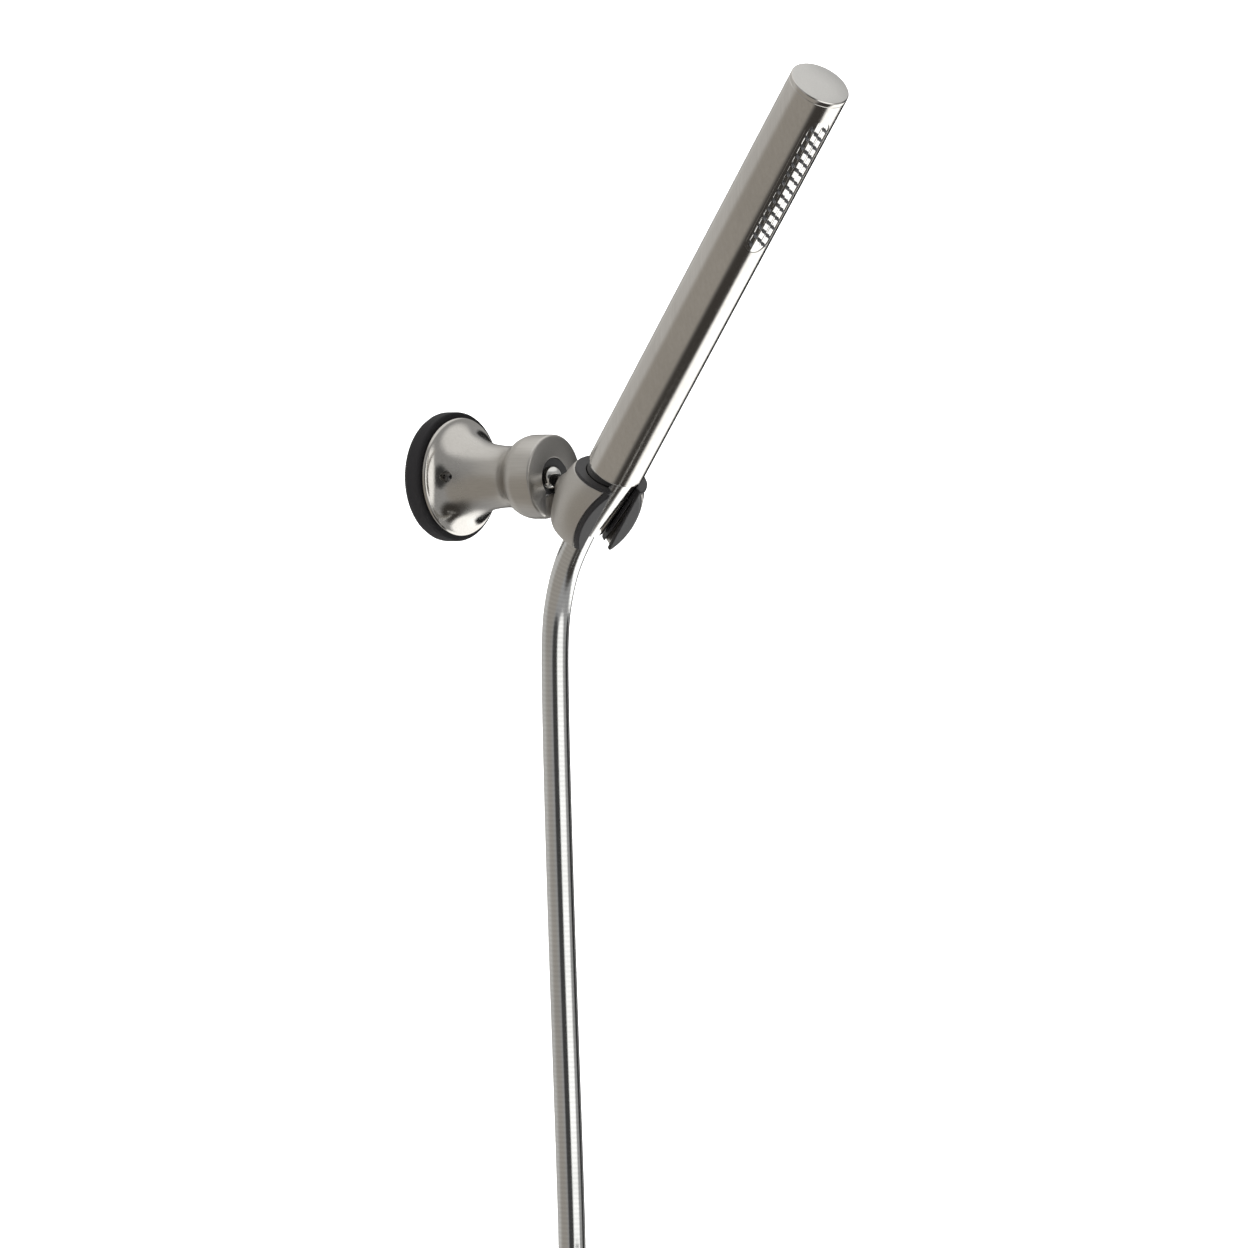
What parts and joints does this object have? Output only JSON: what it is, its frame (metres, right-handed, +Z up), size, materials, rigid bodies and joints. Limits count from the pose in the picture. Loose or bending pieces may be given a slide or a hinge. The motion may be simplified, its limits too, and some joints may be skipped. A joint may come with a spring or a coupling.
{
  "type": "handheld shower head",
  "caption": "Slim stick handset resting in a fork holder on a ball-jointed wall bracket, with a smooth shower hose and its screw fitting.",
  "frame": {"origin": "middle of the wall bracket back face, where it meets the wall", "axes": "+X out of the wall along the bracket arm, +Z up"},
  "size_m": [0.2886, 0.123, 0.7286],
  "materials": {
    "satin_nickel": "satin brushed nickel, warm grey",
    "polished_nickel": "polished, mirror-like",
    "black_plastic": "moulded black, lightly textured",
    "black_rubber": "soft matt black",
    "grey_silicone": "soft moulded silicone",
    "brass": "turned brass",
    "steel": "plain steel",
    "white_plastic": "moulded acetal",
    "hose_skin": "smooth silver jacket, long streaks"
  },
  "bodies": {
    "wall_bracket": {"wall_gasket": "black_rubber", "base_ring": "black_plastic", "fixing_plate": "steel", "bracket_arm": "satin_nickel", "base_set_screw": "steel", "pressing_cup": "white_plastic", "disc_spring": "steel", "tension_plug": "brass"},
    "ball_socket": {"ball_seat": "black_plastic"},
    "stud": {"ball_stud": "polished_nickel", "friction_washer": "black_plastic"},
    "holder": {"holder_body": "satin_nickel", "holder_liner": "black_plastic", "stud_nut": "steel"},
    "hose_line": {"hose_ferrule": "brass", "hose": "hose_skin", "hose_coil": "hose_skin", "hose_ties": "black_plastic", "end_ferrule": "polished_nickel", "end_washer": "black_rubber"},
    "handset": {"handset_tube": "polished_nickel", "end_cap": "satin_nickel", "cap_seal": "black_rubber", "spray_plate": "polished_nickel", "nozzle_mat": "grey_silicone", "water_chamber": "white_plastic", "inner_pipe": "white_plastic", "inlet_connector": "brass", "inlet_seal": "black_rubber", "flow_regulator": "white_plastic", "cone_nut": "polished_nickel", "filter_washer": "black_rubber"},
    "end_nut_body": {"end_nut": "polished_nickel"}
  },
  "joints": [
    {"name": "ball_swing", "type": "hinge", "parent": "wall_bracket", "child": "ball_socket", "pos_m": [0.0653, 0, 0], "axis": [0, 0, 1], "range_deg": [-12, 45]},
    {"name": "holder_tilt", "type": "hinge", "parent": "ball_socket", "child": "stud", "pos_m": [0.0653, 0, 0], "axis": [0.342, 0.9397, 0], "range_deg": [-30, 30]},
    {"name": "holder_spin", "type": "hinge", "parent": "stud", "child": "holder", "pos_m": [0.0653, 0, 0], "axis": [0.9051, -0.3294, -0.2689], "range_deg": [-40, 40]},
    {"name": "handset_lift", "type": "slide", "parent": "holder", "child": "hose_line", "axis": [0.6645, -0.2418, 0.7071], "range_m": [0, 0.03]},
    {"name": "handset_turn", "type": "hinge", "parent": "hose_line", "child": "handset", "pos_m": [0.12187, -0.02059, 0.0049], "axis": [0.6645, -0.2418, 0.7071], "continuous": true},
    {"name": "end_nut_turn", "type": "hinge", "parent": "hose_line", "child": "end_nut_body", "pos_m": [0.09415, 0.01845, -0.518], "axis": [0, 0, 1], "continuous": true}
  ]
}
